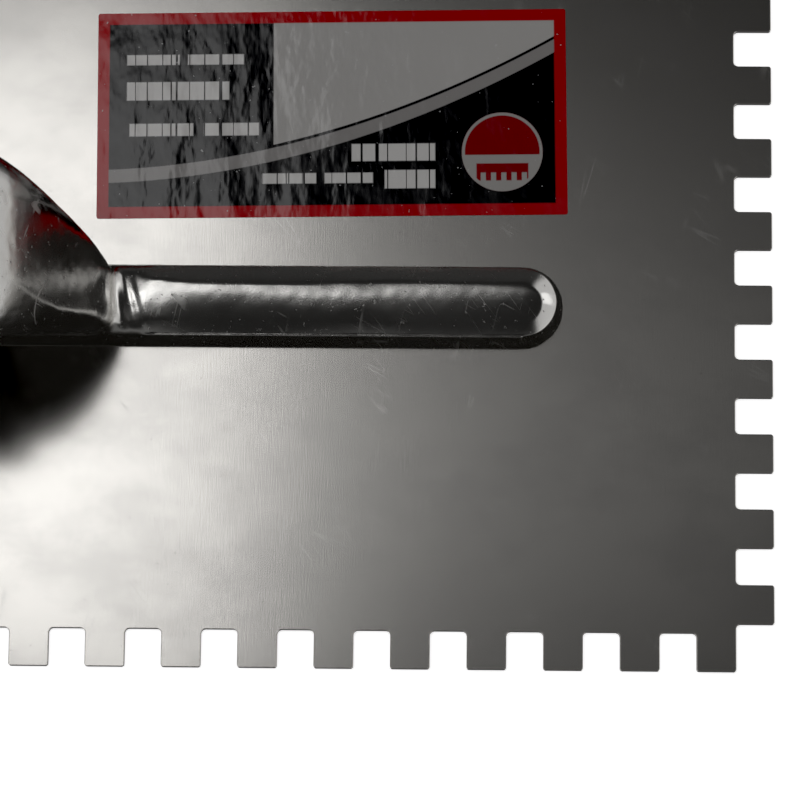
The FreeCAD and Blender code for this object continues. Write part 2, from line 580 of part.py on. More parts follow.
def make_cap():
    body = new_body("end_cap")
    rings = add_rings(body, "skin", "cap", cap_sections, "0")
    dome = new_feature(body, "AdditiveLoft", "cap_dome", rings[0], Sections=rings[1:])
    doc.recompute()
    rear = min(dome.Shape.Faces, key=lambda face: face.CenterOfMass.x)
    rim = [number for number, edge in enumerate(dome.Shape.Edges, start=1)
           if any(edge.isSame(other) for other in rear.Edges)]
    rounded = add_dress_up(body, "Fillet", "cap_rim", dome, [f"Edge{number}" for number in rim],
                           "Radius", "dims.cap_round")
    spigot = new_sketch(body, "spigot_circle", "YZ_Plane", {"z": "dims.cap_x_0"})
    add_circle(spigot, "dims.cap_spigot_diameter", "0", "dims.axis_height")
    plug = new_feature(body, "Pad", "spigot", spigot, Length="=dims.cap_spigot")
    hole = new_sketch(body, "hang_circle", "XZ_Plane")
    add_circle(hole, "dims.hang_hole", "-dims.hang_hole_back", "dims.hang_hole_rise")
    hung = new_feature(body, "Pocket", "hang_way", hole, SideType="Symmetric", Type="ThroughAll")
    check_cuts(hung, plug)
    return body


def make_rod(label, diameter, height, front, back):
    """A round bar along X between two places, with a small chamfer at each end."""
    body = new_body(label)
    circle = new_sketch(body, label + "_circle", "YZ_Plane", {"z": back})
    add_circle(circle, diameter, "0", height)
    bar = new_feature(body, "Pad", label + "_bar", circle, Length=f"=({front}) - ({back})")
    doc.recompute()
    ends = [number for number, edge in enumerate(bar.Shape.Edges, start=1) if edge.isClosed()]
    add_dress_up(body, "Chamfer", label + "_ends", bar, [f"Edge{number}" for number in ends],
                 "Size", "dims.rod_chamfer")
    return body


def make_washer():
    body = new_body("tang_washer")
    rings = new_sketch(body, "washer_circles", "YZ_Plane", {"z": "dims.recess_floor"})
    add_circle(rings, "dims.washer_diameter", "0", "dims.axis_height")
    add_circle(rings, "dims.tang_diameter", "0", "dims.axis_height")
    new_feature(body, "Pad", "washer_plate", rings, Length="=dims.washer_thick", Reversed=True)
    return body


def make_nut():
    body = new_body("tang_nut")
    outline = new_sketch(body, "nut_hexagon", "YZ_Plane",
                         {"z": "dims.recess_floor - dims.washer_thick", "y": "dims.axis_height"})
    around = Part.Circle(FreeCAD.Vector(0, 0, 0), FreeCAD.Vector(0, 0, 1), 7.5)
    ring = outline.addGeometry(around, True)
    outline.addConstraint(Sketcher.Constraint("Coincident", ring, 3, -1, 1))
    bind(outline, "across", Sketcher.Constraint("Diameter", ring, 15),
         "dims.nut_across_flats / cos(30 deg)")
    corners = [around.value(around.LastParameter * step / 6) for step in range(6)]
    first = add_polygon(outline, [(corner.x, corner.y) for corner in corners])
    for edge in range(6):
        outline.addConstraint(Sketcher.Constraint("PointOnObject", first + edge, 1, ring))
        if edge:
            outline.addConstraint(Sketcher.Constraint("Equal", first, first + edge))
    outline.addConstraint(Sketcher.Constraint("PointOnObject", first, 1, -1))
    solid = new_feature(body, "Pad", "nut_blank", outline, Length="=dims.nut_thick", Reversed=True)
    doc.recompute()
    circle = new_sketch(body, "nut_thread", "YZ_Plane", {"z": "dims.recess_floor"})
    add_circle(circle, "dims.tang_diameter", "0", "dims.axis_height")
    bored = new_feature(body, "Pocket", "nut_bore", circle, Length="=dims.washer_thick + dims.nut_thick + 1")
    check_cuts(bored, solid)
    return body


def make_label():
    body = new_body("label")
    outline = new_sketch(body, "label_outline", "XY_Plane")
    outline.AttachmentOffset = FreeCAD.Placement(
        FreeCAD.Vector(0, 0, 0), FreeCAD.Rotation(FreeCAD.Vector(0, 0, 1), dim("label_skew")))
    outline.setExpression("AttachmentOffset.Rotation.Angle", "dims.label_skew")
    outline.setExpression("AttachmentOffset.Base.x", "dims.label_x")
    outline.setExpression("AttachmentOffset.Base.y", "dims.label_y")
    outline.setExpression("AttachmentOffset.Base.z", "dims.blade_thick")
    add_round_box(outline, "dims.label_length", "dims.label_width", "dims.label_corner")
    new_feature(body, "Pad", "label_film", outline, Length="=dims.label_thick")
    return body


parts = [
    make_blade(), make_mounting(), make_rivets(), make_core(), make_grip(),
    make_inlay("left_inlay", 1), make_inlay("right_inlay", -1), make_cap(),
    make_rod("tang_rod", "dims.tang_diameter", "dims.axis_height",
             "dims.neck_face + dims.tang_in_neck", "dims.tang_end"),
    make_rod("anti_turn_pin", "dims.pin_diameter", "dims.axis_height - dims.pin_drop",
             "dims.neck_face + dims.pin_in_neck", "dims.neck_face - dims.pin_in_core"),
    make_washer(), make_nut(), make_label(),
]
doc.recompute()

for item in doc.Objects:
    if "Invalid" in item.State or "Error" in item.State:
        raise RuntimeError(f"{item.Label} failed: {item.State}")

os.makedirs("parts", exist_ok=True)
for part in parts:
    if part.Shape.isNull() or not part.Shape.isValid():
        raise RuntimeError(f"{part.Label} has no valid shape")
    part.Shape.exportStep(f"parts/{part.Label}.step")
    print(f"{part.Label}: {len(part.Shape.Solids)} solid, {part.Shape.Volume / 1000:.2f} cm3")
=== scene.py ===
import math

import bpy
import numpy as np
from mathutils import Matrix, Vector


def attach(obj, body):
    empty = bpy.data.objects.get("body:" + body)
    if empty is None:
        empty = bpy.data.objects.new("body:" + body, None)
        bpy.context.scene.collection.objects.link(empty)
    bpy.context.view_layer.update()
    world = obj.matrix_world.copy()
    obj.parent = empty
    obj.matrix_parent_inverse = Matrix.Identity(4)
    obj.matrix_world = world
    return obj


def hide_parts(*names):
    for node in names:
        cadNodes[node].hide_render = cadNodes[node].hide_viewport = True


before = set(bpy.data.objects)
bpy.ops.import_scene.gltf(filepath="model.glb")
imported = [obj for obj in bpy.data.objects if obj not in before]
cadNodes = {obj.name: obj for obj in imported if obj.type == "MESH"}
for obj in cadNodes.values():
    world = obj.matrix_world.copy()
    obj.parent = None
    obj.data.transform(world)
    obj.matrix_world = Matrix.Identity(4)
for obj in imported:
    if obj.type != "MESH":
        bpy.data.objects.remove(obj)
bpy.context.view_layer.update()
print("frame loaded:", len(cadNodes), "nodes")


def addNode(tree, kind, **settings):
    node = tree.nodes.new(kind)
    for name, value in settings.items():
        setattr(node, name, value)
    return node


def plug(tree, socket, value):  # value is another socket or a plain value
    if isinstance(value, bpy.types.NodeSocket):
        tree.links.new(value, socket)
    else:
        socket.default_value = value


def calc(tree, operation, *values):
    node = addNode(tree, "ShaderNodeMath", operation=operation)
    for socket, value in zip(node.inputs, values):
        plug(tree, socket, value)
    return node.outputs[0]


def remap(tree, value, low, high, newLow=0.0, newHigh=1.0):
    node = addNode(tree, "ShaderNodeMapRange", interpolation_type="SMOOTHSTEP")
    for socket, item in zip(node.inputs, (value, low, high, newLow, newHigh)):
        plug(tree, socket, item)
    return node.outputs[0]


def tint(tree, share, first, second):
    node = addNode(tree, "ShaderNodeMix", data_type="RGBA")
    for place, value in ((0, share), (6, first), (7, second)):
        colour = place > 0 and isinstance(value, tuple)
        plug(tree, node.inputs[place], (*value, 1) if colour else value)
    return node.outputs[2]


def objectPlace(tree):
    return addNode(tree, "ShaderNodeTexCoord").outputs["Object"]


def noiseAt(tree, place, size, detail=2.0, rough=0.5, shift=0.0, turn=0.0):
    scaled = addNode(tree, "ShaderNodeMapping")
    plug(tree, scaled.inputs["Vector"], place)
    scaled.inputs["Scale"].default_value = [1000 / side for side in size]  # size in millimetres
    scaled.inputs["Location"].default_value = (shift, shift * 0.7, -shift)
    if turn:
        turned = addNode(tree, "ShaderNodeMapping")
        turned.inputs["Rotation"].default_value = (0, 0, math.radians(turn))
        plug(tree, turned.inputs["Vector"], place)
        plug(tree, scaled.inputs["Vector"], turned.outputs[0])
    node = addNode(tree, "ShaderNodeTexNoise")
    plug(tree, node.inputs["Vector"], scaled.outputs[0])
    node.inputs["Scale"].default_value = 1
    node.inputs["Detail"].default_value = detail
    node.inputs["Roughness"].default_value = rough
    return node.outputs["Fac"]


def newGroup(name, inputs, outputs):
    group = bpy.data.node_groups.new(name, "ShaderNodeTree")
    for label, value in inputs.items():
        socket = group.interface.new_socket(label, in_out="INPUT", socket_type="NodeSocketFloat")
        socket.default_value = value
    for label in outputs:
        group.interface.new_socket(label, in_out="OUTPUT", socket_type="NodeSocketFloat")
    start = addNode(group, "NodeGroupInput")
    end = addNode(group, "NodeGroupOutput")
    return group, start.outputs, end.inputs


def useGroup(tree, group, **values):
    node = addNode(tree, "ShaderNodeGroup", node_tree=group)
    for label, value in values.items():
        plug(tree, node.inputs[label], value)
    return node.outputs


def newMaterial(name, **sockets):
    material = bpy.data.materials.new(name)
    material.use_nodes = True
    shader = material.node_tree.nodes["Principled BSDF"]
    for label, value in sockets.items():
        shader.inputs[label.replace("_", " ")].default_value = value
    return material, material.node_tree, shader.inputs


def bump(tree, height, depth, under=None):  # depth in micrometres
    node = addNode(tree, "ShaderNodeBump")
    node.inputs["Strength"].default_value = 1
    node.inputs["Distance"].default_value = depth * 1e-6
    plug(tree, node.inputs["Height"], height)
    if under is not None:
        plug(tree, node.inputs["Normal"], under)
    return node.outputs["Normal"]


def makeFineLines():  # rolled, brushed or polished lines: one size each way, in millimetres
    group, given, out = newGroup("fineLines", {"SizeX": 0.2, "SizeY": 4.0, "SizeZ": 0.2}, ["Height"])
    scale = addNode(group, "ShaderNodeCombineXYZ")
    for axis, label in enumerate(("SizeX", "SizeY", "SizeZ")):
        plug(group, scale.inputs[axis], calc(group, "DIVIDE", 1000.0, given[label]))
    place = addNode(group, "ShaderNodeVectorMath", operation="MULTIPLY")
    plug(group, place.inputs[0], objectPlace(group))
    plug(group, place.inputs[1], scale.outputs[0])
    texture = addNode(group, "ShaderNodeTexNoise")
    texture.inputs["Scale"].default_value = 1
    texture.inputs["Detail"].default_value = 3
    plug(group, texture.inputs["Vector"], place.outputs[0])
    plug(group, out["Height"], texture.outputs["Fac"])
    return group


handlingLook = {"smudgeSize": (26, 17, 20), "patchSize": (7, 9, 8), "speckSize": (0.7, 0.7, 0.7),
                "scratches": (((2.6, 120, 40), 2.0, 14.0), ((110, 3.1, 40), 5.0, 27.0),
                              ((2.2, 90, 40), 11.0, -38.0))}  # size, shift and turn of each set


def makeHandling():  # smudges, hair scratches and dust specks
    group, given, out = newGroup("handling", {"Smudging": 1.0, "Scratching": 1.0, "Dust": 1.0},
                                 ["Smudge", "Scratch", "Speck"])
    place = objectPlace(group)
    smudge = remap(group, noiseAt(group, place, handlingLook["smudgeSize"], 5, 0.6), 0.36, 0.68)
    plug(group, out["Smudge"], calc(group, "MULTIPLY", smudge, given["Smudging"]))
    patches = remap(group, noiseAt(group, place, handlingLook["patchSize"], 2, 0.6, 7.0), 0.54, 0.68)
    lines = []
    for size, shift, turn in handlingLook["scratches"]:
        field = noiseAt(group, place, size, 0, 0.5, shift, turn)
        level = calc(group, "ABSOLUTE", calc(group, "SUBTRACT", field, 0.5))
        lines.append(remap(group, level, 0.002, 0.012, 1, 0))
    crossed = calc(group, "MAXIMUM", calc(group, "MAXIMUM", lines[0], lines[1]), lines[2])
    scratch = calc(group, "MULTIPLY", crossed, patches)
    plug(group, out["Scratch"], calc(group, "MULTIPLY", scratch, given["Scratching"]))
    speck = remap(group, noiseAt(group, place, handlingLook["speckSize"], 1, 0.5, 3.0), 0.76, 0.8)
    plug(group, out["Speck"], calc(group, "MULTIPLY", speck, given["Dust"]))
    return group


def makeMouldedSkin():  # stippled surface of a moulded part, with dust in its low spots
    group, given, out = newGroup("mouldedSkin", {"Grain": 0.4}, ["Height", "Dust"])
    place = addNode(group, "ShaderNodeVectorMath", operation="SCALE")
    plug(group, place.inputs[0], objectPlace(group))
    plug(group, place.inputs["Scale"], calc(group, "DIVIDE", 1000.0, given["Grain"]))
    cells = addNode(group, "ShaderNodeTexVoronoi", feature="SMOOTH_F1")
    cells.inputs["Scale"].default_value = 1
    plug(group, cells.inputs["Vector"], place.outputs[0])
    plug(group, out["Height"], cells.outputs["Distance"])
    film = noiseAt(group, objectPlace(group), (11, 9, 9), 5, 0.65, 4.0)
    plug(group, out["Dust"], remap(group, film, 0.45, 0.75))
    return group


def makeEdgeRub():  # bare, shiny ridges, and hollows that take dust on moulded parts and painted shade on the casting
    group, given, out = newGroup("edgeRub", {"Start": 0.52, "End": 0.6}, ["Rub", "Hollow"])
    sharpness = addNode(group, "ShaderNodeNewGeometry").outputs["Pointiness"]
    plug(group, out["Rub"], remap(group, sharpness, given["Start"], given["End"]))
    plug(group, out["Hollow"], remap(group, sharpness, 0.42, 0.49, 1, 0))
    return group


fineLines = makeFineLines()
handling = makeHandling()
mouldedSkin = makeMouldedSkin()
edgeRub = makeEdgeRub()
print("shared effects made")


sheetLook = {"steel": (0.57, 0.555, 0.53), "dull": (0.50, 0.487, 0.468), "rough": 0.165,
             "smudgeRough": 0.025, "scratchRough": 0.08, "lineDepth": 2.2, "waveDepth": 7.0}


def makeSheetMetal():
    material, tree, shader = newMaterial("stainlessSheet", Metallic=1)
    lines = useGroup(tree, fineLines, SizeX=0.22, SizeY=3.2, SizeZ=0.22)["Height"]
    marks = useGroup(tree, handling, Smudging=0.8, Scratching=0.6, Dust=0.5)
    colour = tint(tree, marks["Smudge"], sheetLook["steel"], sheetLook["dull"])
    colour = tint(tree, calc(tree, "MULTIPLY", marks["Scratch"], 0.35), colour, (0.8, 0.79, 0.77))
    colour = tint(tree, calc(tree, "MULTIPLY", marks["Speck"], 0.5), colour, (0.2, 0.19, 0.18))
    plug(tree, shader["Base Color"], colour)
    rough = calc(tree, "MULTIPLY_ADD", marks["Smudge"], sheetLook["smudgeRough"], sheetLook["rough"])
    rough = calc(tree, "MULTIPLY_ADD", marks["Scratch"], sheetLook["scratchRough"], rough)
    plug(tree, shader["Roughness"], rough)
    waves = noiseAt(tree, objectPlace(tree), (45, 60, 45), 1, 0.4, 9.0)
    normal = bump(tree, waves, sheetLook["waveDepth"])
    normal = bump(tree, lines, sheetLook["lineDepth"], normal)
    plug(tree, shader["Normal"], bump(tree, marks["Scratch"], -0.8, normal))
    return material


# the dark casting colour marks the pits as dirt and is also painted shade in the hollows
castLook = {"metal": (0.64, 0.63, 0.61), "grimeAndShade": (0.12, 0.115, 0.11), "rough": 0.15,
            "lumpDepth": 9.0, "grainDepth": 7.0, "lineDepth": 2.5}


def makeCastMetal():
    material, tree, shader = newMaterial("polishedCasting", Metallic=1)
    place = objectPlace(tree)
    lines = useGroup(tree, fineLines, SizeX=2.5, SizeY=0.25, SizeZ=0.3)["Height"]
    marks = useGroup(tree, handling, Smudging=1, Scratching=1, Dust=1)
    edges = useGroup(tree, edgeRub)
    pits = remap(tree, noiseAt(tree, place, (0.9, 0.8, 0.8), 3, 0.6, 13.0), 0.66, 0.74)
    colour = tint(tree, calc(tree, "MULTIPLY", pits, 0.55), castLook["metal"], castLook["grimeAndShade"])
    # painted shade: concave hollows, such as the fillet at the post's foot, are darkened with the dark
    # casting colour
    colour = tint(tree, calc(tree, "MULTIPLY", edges["Hollow"], 0.7), colour, castLook["grimeAndShade"])
    plug(tree, shader["Base Color"], colour)
    rough = calc(tree, "MULTIPLY_ADD", marks["Smudge"], 0.09, castLook["rough"])
    rough = calc(tree, "MULTIPLY_ADD", marks["Scratch"], 0.2, rough)
    rough = calc(tree, "MULTIPLY_ADD", pits, 0.3, rough)
    plug(tree, shader["Roughness"], rough)
    lumps = noiseAt(tree, place, (2.4, 1.6, 1.8), 3, 0.55, 21.0)
    grain = noiseAt(tree, place, (0.34, 0.3, 0.3), 2, 0.6, 17.0)
    normal = bump(tree, lumps, castLook["lumpDepth"])
    normal = bump(tree, grain, castLook["grainDepth"], normal)
    normal = bump(tree, lines, castLook["lineDepth"], normal)
    plug(tree, shader["Normal"], bump(tree, pits, -25.0, normal))
    return material


def makeRivetMetal():
    material, tree, shader = newMaterial("rivetSteel", Metallic=1)
    lines = useGroup(tree, fineLines, SizeX=0.15, SizeY=1.4, SizeZ=0.3)["Height"]
    marks = useGroup(tree, handling, Smudging=1, Scratching=1, Dust=0.6)
    plug(tree, shader["Base Color"], tint(tree, marks["Smudge"], (0.55, 0.54, 0.52), (0.42, 0.41, 0.4)))
    plug(tree, shader["Roughness"], calc(tree, "MULTIPLY_ADD", marks["Smudge"], 0.1, 0.3))
    plug(tree, shader["Normal"], bump(tree, lines, 6.0))
    return material


def makePlatedSteel():
    material, tree, shader = newMaterial("platedSteel", Metallic=1)
    lines = useGroup(tree, fineLines, SizeX=0.5, SizeY=0.4, SizeZ=0.4)["Height"]
    marks = useGroup(tree, handling, Smudging=1, Scratching=0.5, Dust=1)
    plug(tree, shader["Base Color"], tint(tree, marks["Smudge"], (0.62, 0.63, 0.64), (0.5, 0.47, 0.38)))
    plug(tree, shader["Roughness"], calc(tree, "MULTIPLY_ADD", marks["Smudge"], 0.15, 0.26))
    plug(tree, shader["Normal"], bump(tree, lines, 5.0))
    return material


def makePlastic(name, fresh, dusty, rough, grain, depth, **sockets):
    material, tree, shader = newMaterial(name, **sockets)
    skin = useGroup(tree, mouldedSkin, Grain=grain)
    marks = useGroup(tree, handling, Smudging=1, Scratching=0.7, Dust=1)
    edges = useGroup(tree, edgeRub, Start=0.54, End=0.64)
    colour = tint(tree, calc(tree, "MULTIPLY", skin["Dust"], 0.35), fresh, dusty)
    colour = tint(tree, calc(tree, "MULTIPLY", edges["Hollow"], 0.5), colour, dusty)
    colour = tint(tree, calc(tree, "MULTIPLY", marks["Speck"], 0.6), colour, (0.35, 0.34, 0.32))
    plug(tree, shader["Base Color"], colour)
    dull = calc(tree, "MULTIPLY_ADD", marks["Smudge"], 0.12, rough)
    dull = calc(tree, "MULTIPLY_ADD", edges["Rub"], -0.1, dull)
    plug(tree, shader["Roughness"], dull)
    normal = bump(tree, skin["Height"], depth)
    plug(tree, shader["Normal"], bump(tree, marks["Scratch"], -12.0, normal))
    return material


labelLook = {"centre": (0.0652, 0.0336), "skew": 0.9, "halfLong": 40.0, "halfHigh": 18.0, "border": 2.0,
             "red": (0.38, 0.006, 0.01), "black": (0.006, 0.006, 0.007), "band": (0.25, 0.24, 0.235),
             "panel": (0.4, 0.39, 0.38), "ink": (0.56, 0.55, 0.54), "badge": (0.32, 0.31, 0.3),
             "badgeRed": (0.21, 0.004, 0.008), "ripple": 190.0, "rippleFine": 8.0,
             "sweepStart": -37.7, "sweep": (0.00344, 0.0325, -11.8), "bandHigh": 2.32, "panelLow": 2.85,
             "panelLeft": -9.9, "soft": 0.12, "strokeRate": 2.6, "strokeStagger": 9.0,
             "badgeCentre": (29.0, -7.0), "badgeRadius": 6.85, "ringInner": 6.35,
             "combSpan": (24.6, 33.4), "toothRate": 3.6}

# plain bars that stand for lines of print: left, right, low and high edges, in millimetres
printBars = [(-34.5, -23.6, -3.7, -1.5), (-21.8, -12.4, -3.7, -1.5), (-12.0, -2.6, -12.2, -10.4),
             (-1.2, 7.0, -12.2, -10.4), (3.4, 17.6, -8.4, -5.4), (9.0, 17.6, -13.2, -10.0),
             (-35.0, -17.5, 2.6, 5.8), (-35.0, -26.0, 8.8, 10.6), (-24.6, -15.0, 8.8, 10.6)]


def boxMask(tree, u, v, left, right, low, high, soft=0.12):
    across = calc(tree, "MINIMUM", calc(tree, "SUBTRACT", u, left), calc(tree, "SUBTRACT", right, u))
    up = calc(tree, "MINIMUM", calc(tree, "SUBTRACT", v, low), calc(tree, "SUBTRACT", high, v))
    return remap(tree, calc(tree, "MINIMUM", across, up), -soft, soft)


def makeLabelFilm():
    material, tree, shader = newMaterial("labelFilm", IOR=1.5)
    place = objectPlace(tree)
    local = addNode(tree, "ShaderNodeMapping", vector_type="TEXTURE")
    plug(tree, local.inputs["Vector"], place)
    local.inputs["Location"].default_value = (*labelLook["centre"], 0)
    local.inputs["Rotation"].default_value = (0, 0, math.radians(labelLook["skew"]))
    local.inputs["Scale"].default_value = (0.001, 0.001, 0.001)
    split = addNode(tree, "ShaderNodeSeparateXYZ")
    plug(tree, split.inputs[0], local.outputs[0])
    u, v = split.outputs[0], split.outputs[1]

    soft = labelLook["soft"]
    square, slope, start = labelLook["sweep"]
    run = calc(tree, "SUBTRACT", u, labelLook["sweepStart"])
    curve = calc(tree, "MULTIPLY_ADD", run, calc(tree, "MULTIPLY_ADD", run, square, slope), start)
    above = calc(tree, "SUBTRACT", v, curve)  # height over the sweeping band's lower edge
    band = calc(tree, "MULTIPLY", remap(tree, above, -soft, soft),
                remap(tree, above, labelLook["bandHigh"] - soft, labelLook["bandHigh"] + soft, 1, 0))
    panel = calc(tree, "MULTIPLY",
                 remap(tree, above, labelLook["panelLow"] - 0.1, labelLook["panelLow"] + 0.1),
                 remap(tree, u, labelLook["panelLeft"] - 0.1, labelLook["panelLeft"] + 0.1))
    bars = None
    for bar in printBars:
        mask = boxMask(tree, u, v, *bar)
        bars = mask if bars is None else calc(tree, "MAXIMUM", bars, mask)
    stagger = addNode(tree, "ShaderNodeTexNoise", noise_dimensions="1D")
    stagger.inputs["Scale"].default_value = 0.45
    plug(tree, stagger.inputs["W"], u)
    shift = calc(tree, "MULTIPLY", stagger.outputs["Fac"], labelLook["strokeStagger"])
    strokes = calc(tree, "SINE", calc(tree, "MULTIPLY_ADD", u, labelLook["strokeRate"], shift))
    bars = calc(tree, "MULTIPLY", bars, remap(tree, strokes, -0.97, -0.86))

    aside = calc(tree, "POWER", calc(tree, "SUBTRACT", u, labelLook["badgeCentre"][0]), 2.0)
    upward = calc(tree, "POWER", calc(tree, "SUBTRACT", v, labelLook["badgeCentre"][1]), 2.0)
    away = calc(tree, "SQRT", calc(tree, "ADD", aside, upward))
    disc = remap(tree, away, labelLook["badgeRadius"] - 0.1, labelLook["badgeRadius"] + 0.1, 1, 0)
    ring = remap(tree, away, labelLook["ringInner"] - 0.1, labelLook["ringInner"] + 0.1)
    ring = calc(tree, "MULTIPLY", disc, ring)
    lower = remap(tree, v, -7.6, -7.4, 1, 0)
    comb = boxMask(tree, u, v, *labelLook["combSpan"], -10.6, -9.0)
    wave = calc(tree, "SINE", calc(tree, "MULTIPLY", u, labelLook["toothRate"]))
    teeth = calc(tree, "GREATER_THAN", wave, 0.0)
    teeth = calc(tree, "MULTIPLY", boxMask(tree, u, v, *labelLook["combSpan"], -12.0, -10.4), teeth)
    comb = calc(tree, "MAXIMUM", comb, teeth)

    colour = tint(tree, band, labelLook["black"], labelLook["band"])
    colour = tint(tree, panel, colour, labelLook["panel"])
    colour = tint(tree, bars, colour, labelLook["ink"])
    colour = tint(tree, disc, colour, labelLook["badgeRed"])
    colour = tint(tree, calc(tree, "MULTIPLY", disc, lower), colour, labelLook["badge"])
    colour = tint(tree, calc(tree, "MULTIPLY", disc, comb), colour, labelLook["badgeRed"])
    colour = tint(tree, ring, colour, labelLook["badge"])
    inside = boxMask(tree, u, v, labelLook["border"] - labelLook["halfLong"],
                     labelLook["halfLong"] - labelLook["border"],
                     labelLook["border"] - labelLook["halfHigh"],
                     labelLook["halfHigh"] - labelLook["border"])
    colour = tint(tree, inside, labelLook["red"], colour)
    marks = useGroup(tree, handling, Smudging=1, Scratching=1, Dust=1)
    colour = tint(tree, calc(tree, "MULTIPLY", marks["Speck"], 0.6), colour, (0.5, 0.5, 0.5))
    plug(tree, shader["Base Color"], colour)
    plug(tree, shader["Roughness"], calc(tree, "MULTIPLY_ADD", marks["Smudge"], 0.06, 0.09))
    ripples = noiseAt(tree, place, (5.5, 11, 6), 3, 0.5, 1.0)
    fine = noiseAt(tree, place, (0.8, 2.5, 2), 2, 0.5, 6.0)
    normal = bump(tree, ripples, labelLook["ripple"])
    plug(tree, shader["Normal"], bump(tree, fine, labelLook["rippleFine"], normal))
    return material


finishes = {
    "blade": makeSheetMetal(),
    "blade_rivets": makeRivetMetal(),
    "handle_core": makePlastic("hardCore", (0.02, 0.02, 0.021), (0.09, 0.088, 0.082), 0.42, 0.5, 6.0),
    "end_cap": makePlastic("capPlastic", (0.016, 0.016, 0.017), (0.1, 0.098, 0.092), 0.4, 0.35, 9.0),
    "label": makeLabelFilm(),
}
castMetal = makeCastMetal()
softRubber = makePlastic("softSleeve", (0.022, 0.022, 0.023), (0.13, 0.125, 0.115), 0.6, 0.55, 26.0,
                         Sheen_Weight=0.08)
redPlate = makePlastic("redInlay", (0.36, 0.012, 0.016), (0.4, 0.1, 0.09), 0.38, 0.6, 16.0)
plated = makePlatedSteel()
for node in ("left_inlay", "right_inlay"):
    finishes[node] = redPlate
for node in ("tang_rod", "anti_turn_pin", "tang_washer", "tang_nut"):
    finishes[node] = plated
for node, material in finishes.items():
    cadNodes[node].material_slots[0].material = material
print("finishes made")


def copyNode(node, name, material):
    mesh = cadNodes[node].data.copy()
    mesh.materials.clear()
    mesh.materials.append(material)
    piece = bpy.data.objects.new(name, mesh)
    bpy.context.scene.collection.objects.link(piece)
    return piece


def settle(piece, material):  # the modifiers' result becomes the mesh
    graph = bpy.context.evaluated_depsgraph_get()
    mesh = bpy.data.meshes.new_from_object(piece.evaluated_get(graph))
    piece.modifiers.clear()
    piece.data = mesh
    mesh.materials.clear()
    mesh.materials.append(material)
    mesh.shade_smooth()


def voxelSkin(piece, size, material):
    remesh = piece.modifiers.new("voxels", "REMESH")
    remesh.mode = "VOXEL"
    remesh.voxel_size = size
    remesh.use_smooth_shade = True
    settle(piece, material)


def readPoints(mesh):
    values = np.empty(len(mesh.vertices) * 3, np.float32)
    mesh.vertices.foreach_get("co", values)
    return values.reshape(-1, 3).astype(float)


def readNormals(mesh):
    values = np.empty(len(mesh.vertices) * 3, np.float32)
    mesh.vertex_normals.foreach_get("vector", values)
    return values.reshape(-1, 3).astype(float)


def writePoints(mesh, points):
    mesh.vertices.foreach_set("co", points.astype(np.float32).ravel())
    mesh.update()


def relax(mesh, points, rounds):  # evens out the skin without shrinking it
    edges = np.empty(len(mesh.edges) * 2, np.int32)
    mesh.edges.foreach_get("vertices", edges)
    a, b = edges[0::2], edges[1::2]
    size = len(points)
    count = np.maximum(np.bincount(edges, minlength=size), 1)[:, None]
    for _ in range(rounds):
        for step in (0.5, -0.52):
            total = np.empty_like(points)
            for axis in range(3):
                total[:, axis] = (np.bincount(a, points[b, axis], size)
                                  + np.bincount(b, points[a, axis], size))
            points = points + (total / count - points) * step
    return points


def wobble(points, size, seed, waves=14):  # smooth seeded noise, about -2 to 2
    draw = np.random.default_rng(seed)
    total = np.zeros(len(points))
    for _ in range(waves):
        way = draw.normal(size=3)
        way *= 2 * math.pi / (size * draw.uniform(0.7, 1.6) * np.linalg.norm(way))
        total += np.sin(points @ way + draw.uniform(0, 2 * math.pi))
    return total / math.sqrt(waves / 2)


def ramp(value, low, high):  # 0 at low, 1 at high
    t = np.clip((value - low) / (high - low), 0, 1)
    return t * t * (3 - 2 * t)


castShape = {"voxel": 0.00036, "relaxRounds": 8, "noseCentre": 0.0977, "top": 0.0086,
             "shoulder": 0.0058, "shoulderHigh": 0.0063, "flatFront": 0.0026, "flatRear": 0.0037,
             "crown": 0.0145, "crestShift": 0.0015, "facetBend": 60,
             "postSpan": (0.044, 0.032), "postFlare": 0.001,  # the top widens towards the post
             "edgeWaves": ((0.00012, 190, 0), (0.0002, 83, 1)), "crestWave": (0.0004, 150, 0.8),
             "heldX": (0.0335, 0.0365), "heldZ": (0.0056, 0.0062), "heldOut": (0.0061, 0.0057),
             "polishWave": 0.000010, "polishSize": 0.0065,
             "ridgeDepth": 0.00006, "ridgeAt": 0.0305, "ridgePitch": 0.0021, "ridgeSlant": 900,
             "ridgeStart": (0.0285, 0.0305), "ridgeEnd": (0.0355, 0.0325), "ridgeRise": (0.007, 0.008)}


def barTop(x, y):  # polished top: a nearly flat band with a ground facet on each side
    beyond = np.maximum(np.abs(x) - castShape["noseCentre"], 0)
    out = np.hypot(beyond, y)
    side = y / np.maximum(out, 1e-6)
    near = ramp(np.abs(x), *castShape["postSpan"])
    middle = (castShape["flatFront"] + castShape["flatRear"]) / 2
    edge = middle + (castShape["flatFront"] - castShape["flatRear"]) / 2 * side
    edge = edge + castShape["postFlare"] * near * (side > 0)
    for height, rate, phase in castShape["edgeWaves"]:
        edge = edge + height * np.sin(x * rate + phase)
    crown = castShape["crown"] * (1 + near)
    height, rate, phase = castShape["crestWave"]
    shift = castShape["crestShift"] + height * np.sin(x * rate + phase) * (1 - near)

    def flat(distance):
        return castShape["top"] - ((distance * side - shift) ** 2 + (distance ** 2) * (1 - side ** 2)
                                   - shift ** 2) / (2 * crown)

    fall = (flat(edge) - castShape["shoulderHigh"]) / (castShape["shoulder"] - edge)
    facet = flat(edge) - fall * (out - edge)
    facet = facet - castShape["facetBend"] * (out - edge) * (out - castShape["shoulder"])
    return np.where(out < edge, flat(out), facet), out


